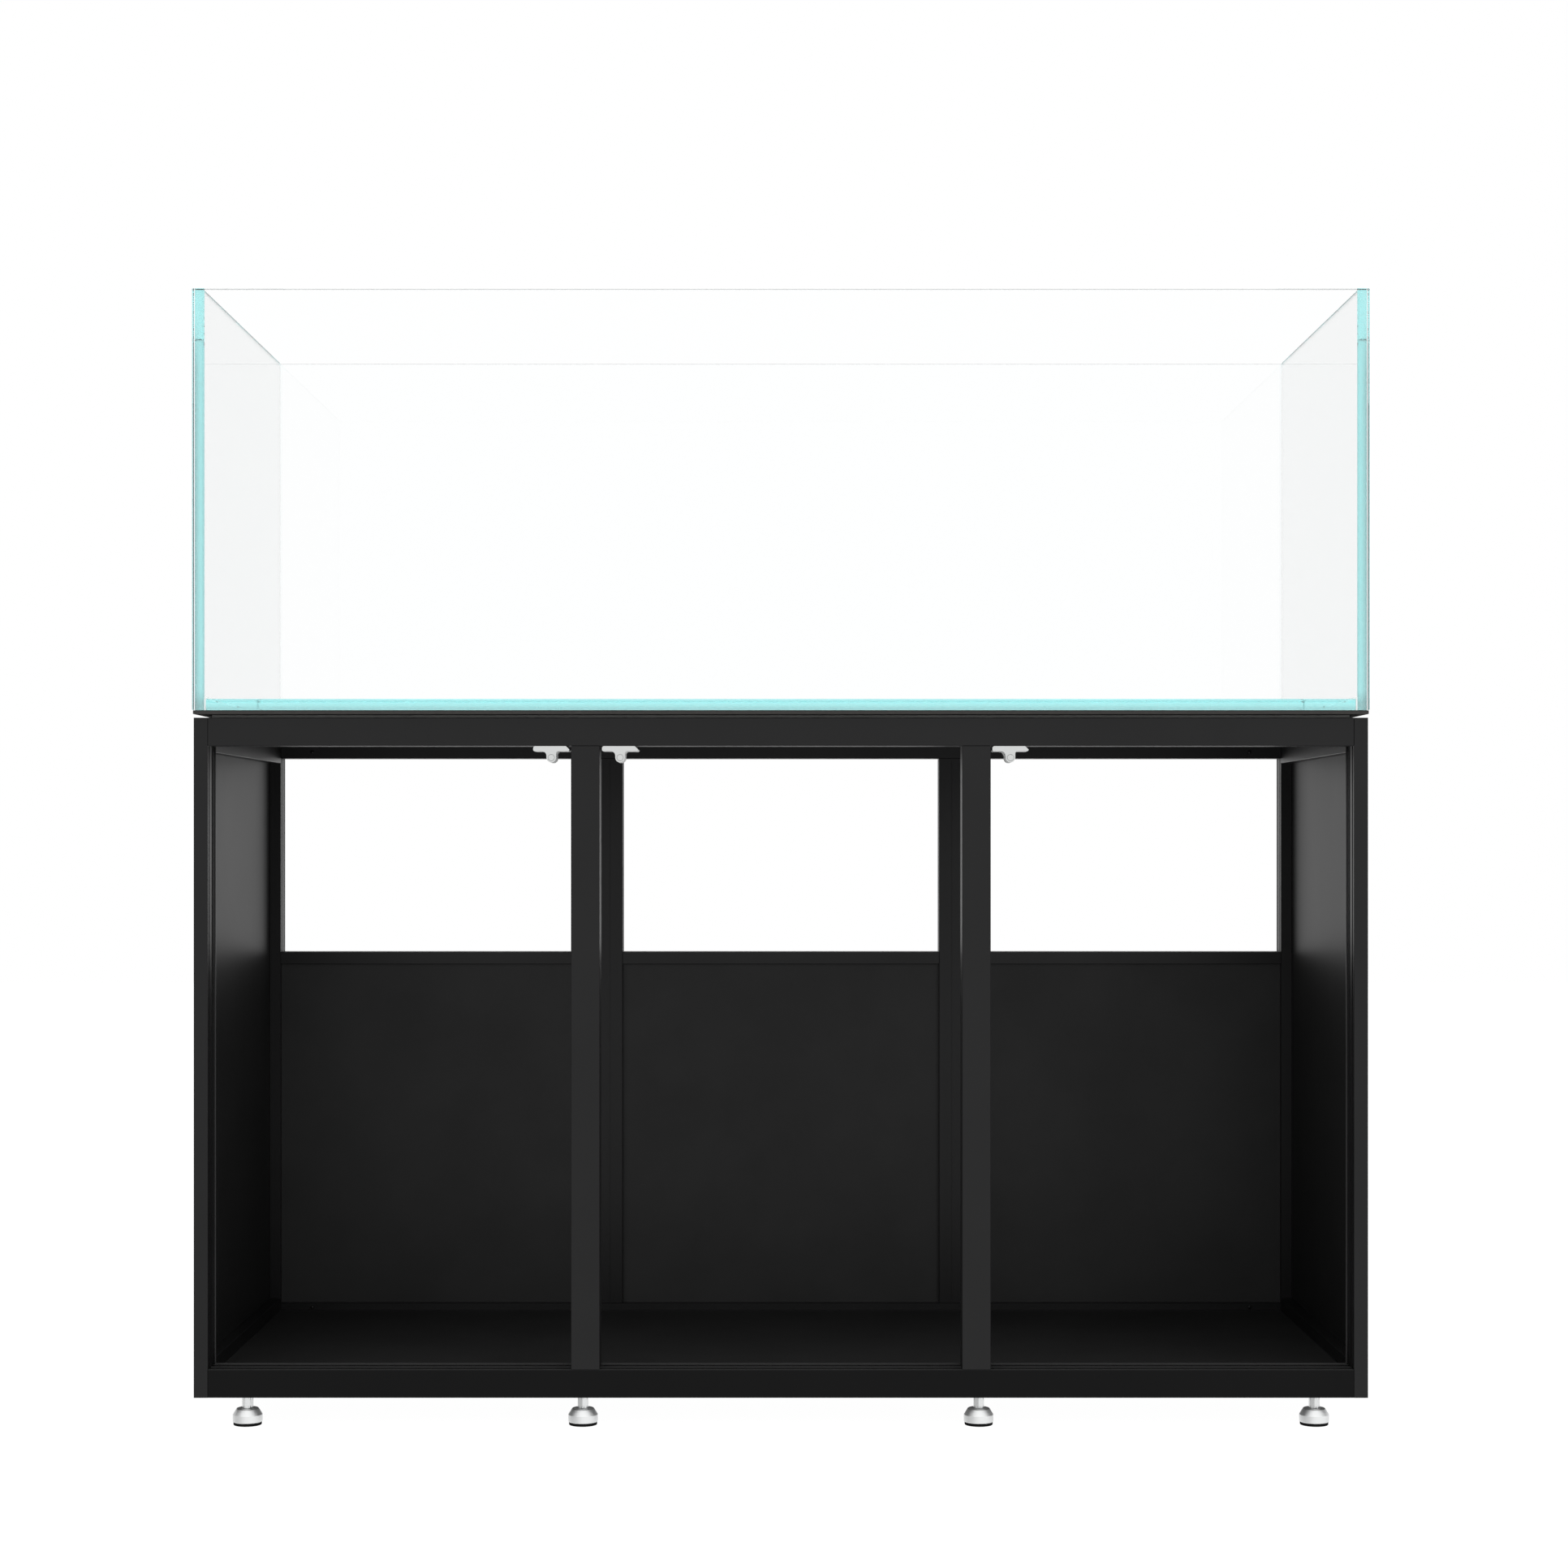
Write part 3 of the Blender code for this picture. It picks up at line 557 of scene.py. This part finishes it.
def build_feet():
    """Base, pad and stem of every foot, each on its CAD body."""
    steel = steel_material("plated_steel", (0.80, 0.81, 0.81), 0.26)
    turned_steel = steel_material("turned_steel", (0.90, 0.91, 0.91), 0.50)
    rubber = rubber_material("black_rubber")
    for name, node in list(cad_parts.items()):
        if not name.startswith("foot_base_"):
            continue
        place = name.removeprefix("foot_base_")
        low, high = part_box(name)
        foot = (Vector(low) + Vector(high)) / 2
        foot.z = low[2]
        base = add_piece(
            f"metal_base_{place}", foot_base(), turned_steel, foot, f"foot_{place}"
        )
        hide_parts(name)
        add_piece(f"rubber_pad_{place}", foot_pad(), rubber, foot, f"foot_{place}")
        turn = math.radians(30 if place == TURNED_FOOT else 0)
        stem = add_piece(f"stem_{place}", foot_stem(turn), steel, foot, f"stem_{place}")
        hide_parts(f"foot_stem_{place}")


# ---------------------------------------------------------------- silicone
def box_mesh(low, high):
    """A closed box between two corners."""
    bm = bmesh.new()
    bmesh.ops.create_cube(bm, size=1.0)
    middle = (Vector(low) + Vector(high)) / 2
    size = Vector(high) - Vector(low)
    bmesh.ops.transform(bm, matrix=Matrix.LocRotScale(middle, None, size), verts=bm.verts)
    return bm


def prism_mesh(outline, near, far):
    """A closed prism: an outline of (x, z) points between two depths in Y."""
    bm = bmesh.new()
    face = bm.faces.new([bm.verts.new((x, near, z)) for x, z in outline])
    grown = bmesh.ops.extrude_face_region(bm, geom=[face])
    moved = [item for item in grown["geom"] if isinstance(item, bmesh.types.BMVert)]
    bmesh.ops.translate(bm, verts=moved, vec=(0, far - near, 0))
    return bm


def end_bead(seam_in, seam_out, base, floor, side):
    """Outline of an end seam with a hollow fillet above it, in the corner of floor and wall."""
    reach = BEAD_RISE
    centre = (seam_in - reach, floor + GAP + reach)
    points = [(seam_out, base), (seam_out, floor + reach)]
    for step in range(BEAD_STEPS + 1):
        angle = math.radians(90 * step / BEAD_STEPS)
        points.append((centre[0] + reach * math.cos(angle), centre[1] - reach * math.sin(angle)))
    points.append((seam_in, floor + GAP))
    points.append((seam_in, base))
    return [(side * x, z) for x, z in points]


def build_silicone():
    """Clear strips up the corners and along the long seams; milky beads in the end seams."""
    clear = silicone_material("clear_silicone", 1.0, 0.02, 0.08)
    # the milky beads glow with painted light, an emission of 0.3
    milky = silicone_material("milky_silicone", 0.0, 0.50, 0.70, painted_glow=0.3)
    seal_low, seal_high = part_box("silicone_seal")
    floor_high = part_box("pane_bottom")[1]
    wall_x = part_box("pane_right")[0][0] - GAP
    wall_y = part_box("pane_back")[0][1] - GAP
    seam_x, seam_y = floor_high[0] + GAP, floor_high[1] + GAP
    base, floor = seal_low[2], floor_high[2]
    for depth_name, toward_y in (("front", -1), ("back", 1)):
        near, far = sorted((toward_y * seam_y, toward_y * wall_y))
        end = seam_x - BEAD_SQUEEZE - SEAM_SLACK
        seam = box_mesh((-end, near, base), (end, far, floor - SEAM_DIP))
        bead = add_piece(f"silicone_{depth_name}", seam, clear, (0, 0, 0), "stand")
        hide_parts("silicone_seal")
        for side_name, toward_x in LEFT_RIGHT:
            start, end = sorted((toward_x * (wall_x + GAP), toward_x * seal_high[0]))
            strip = box_mesh((start, near, base), (end, far, seal_high[2]))
            name = f"silicone_{depth_name}_{side_name}"
            add_piece(name, strip, clear, (0, 0, 0), "stand")
    for side_name, toward_x in LEFT_RIGHT:
        outline = end_bead(seam_x - BEAD_SQUEEZE, wall_x + BEAD_SQUEEZE, base, floor, toward_x)
        bead = prism_mesh(outline, -wall_y, wall_y)
        add_piece(f"silicone_end_{side_name}", bead, milky, (0, 0, 0), "stand")


# ---------------------------------------------------------------- liner edge
def build_liner_edge():
    """A thin edge behind the front frame: along the bottom rail and up both posts."""
    rail_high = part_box("rail_front_bottom")[1]
    post_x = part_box("post_front_right")[0][0]
    near = rail_high[1] + GAP
    low, high = rail_high[2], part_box("rail_front_top")[0][2]
    inner_x, inner_z = post_x - LINER_SIDE, low + LINER_RISE
    outline = [
        (-post_x, low - LINER_HOLD), (post_x, low - LINER_HOLD), (post_x, high), (inner_x, high),
        (inner_x, inner_z), (-inner_x, inner_z), (-inner_x, high), (-post_x, high),
    ]
    bm = prism_mesh(outline, near, near + LINER_THICKNESS)
    bevel = {"offset": LINER_EDGE, "segments": 2, "profile": 0.5, "affect": "EDGES"}
    bmesh.ops.bevel(bm, geom=bm.edges[:], **bevel)
    satin = coated_metal("satin_black_edge", (0.015, 0.015, 0.0151), 0.35, 0.45)
    add_piece("liner_edge", bm, satin, (0, 0, 0), "stand")


# ---------------------------------------------------------------- screws
def screw_head():
    """Button head, its face towards -Y."""
    bm = turned([
        (0, 0), (SCREW_RADIUS, 0), (SCREW_RADIUS, 0.35 * SCREW_HEIGHT),
        (0.85 * SCREW_RADIUS, 0.75 * SCREW_HEIGHT), (0.6 * SCREW_RADIUS, SCREW_HEIGHT),
        (0, SCREW_HEIGHT),
    ], SCREW_STEPS)
    bmesh.ops.rotate(bm, verts=bm.verts, matrix=Matrix.Rotation(math.radians(90), 3, "X"))
    return bm


def build_screws():
    """Black screws in the back frame's rails, near its corners."""
    steel = coated_metal("black_screw", (0.004, 0.004, 0.004), 0.3, 0.3)
    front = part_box("rail_back_top")[0][1]
    for level, height in SCREW_LEVELS:
        for side_name, toward_x in LEFT_RIGHT:
            centre = (toward_x * SCREW_X, front - GAP, height)
            name = f"screw_{level}_{side_name}"
            add_piece(name, screw_head(), steel, centre, "stand")


# ---------------------------------------------------------------- studio
def build_studio():
    """White surroundings, a little darker to the left and brighter above, and a pale floor."""
    world = bpy.data.worlds.new("white_studio")
    world.use_nodes = True
    tree = world.node_tree
    sky = tree.nodes["Background"]
    sky.inputs["Color"].default_value = (1.0, 1.0, 1.0, 1.0)
    direction = tree.nodes.new("ShaderNodeTexCoord").outputs["Generated"]
    strength = None
    for heading, start, end, gain in LIGHT_CHANGES:
        along = tree.nodes.new("ShaderNodeVectorMath")
        along.operation = "DOT_PRODUCT"
        along.inputs[1].default_value = heading
        tree.links.new(direction, along.inputs[0])
        share = tree.nodes.new("ShaderNodeMapRange")
        share.interpolation_type = "SMOOTHSTEP"
        share.inputs["From Min"].default_value = start
        share.inputs["From Max"].default_value = end
        share.inputs["To Min"].default_value = 0.0
        share.inputs["To Max"].default_value = gain
        tree.links.new(along.outputs["Value"], share.inputs["Value"])
        total = tree.nodes.new("ShaderNodeMath")
        total.operation = "ADD"
        total.inputs[0].default_value = SKY_LIGHT
        if strength:
            tree.links.new(strength, total.inputs[0])
        tree.links.new(share.outputs["Result"], total.inputs[1])
        strength = total.outputs[0]
    tree.links.new(strength, sky.inputs["Strength"])
    bpy.context.scene.world = world

    bm = bmesh.new()
    bmesh.ops.create_grid(bm, x_segments=1, y_segments=1, size=FLOOR_SIZE / 2)
    mesh = bpy.data.meshes.new("floor")
    bm.to_mesh(mesh)
    bm.free()
    floor = bpy.data.objects.new("floor", mesh)
    bpy.context.scene.collection.objects.link(floor)
    shader = Shader("pale_floor")
    shader.set(
        Base_Color=(*FLOOR_COLOUR, 1.0), Roughness=0.9, Specular_IOR_Level=0.0,
        Emission_Color=(1.0, 1.0, 1.0, 1.0), Emission_Strength=FLOOR_GLOW,
    )
    mesh.materials.append(shader.material)
    floor.visible_glossy = False


def build_camera():
    """A level camera that looks along +Y; its shift frames the object."""
    data = bpy.data.cameras.new("camera")
    data.sensor_width = 36.0
    data.lens = CAMERA_LENS
    data.shift_x, data.shift_y = CAMERA_SHIFT
    camera = bpy.data.objects.new("camera", data)
    camera.location = CAMERA_PLACE
    camera.rotation_euler = (math.radians(90), 0.0, 0.0)
    bpy.context.scene.collection.objects.link(camera)
    bpy.context.scene.camera = camera


def set_render_paths():
    """Enough bounces for light to run the length of a pane."""
    scene = bpy.context.scene
    scene.view_settings.view_transform = "Standard"
    scene.cycles.max_bounces = 40
    scene.cycles.transmission_bounces = 32
    scene.cycles.glossy_bounces = 24
    scene.cycles.transparent_max_bounces = 32


paint_nodes()
build_silicone()
build_liner_edge()
build_feet()
build_screws()
build_studio()
build_camera()
set_render_paths()
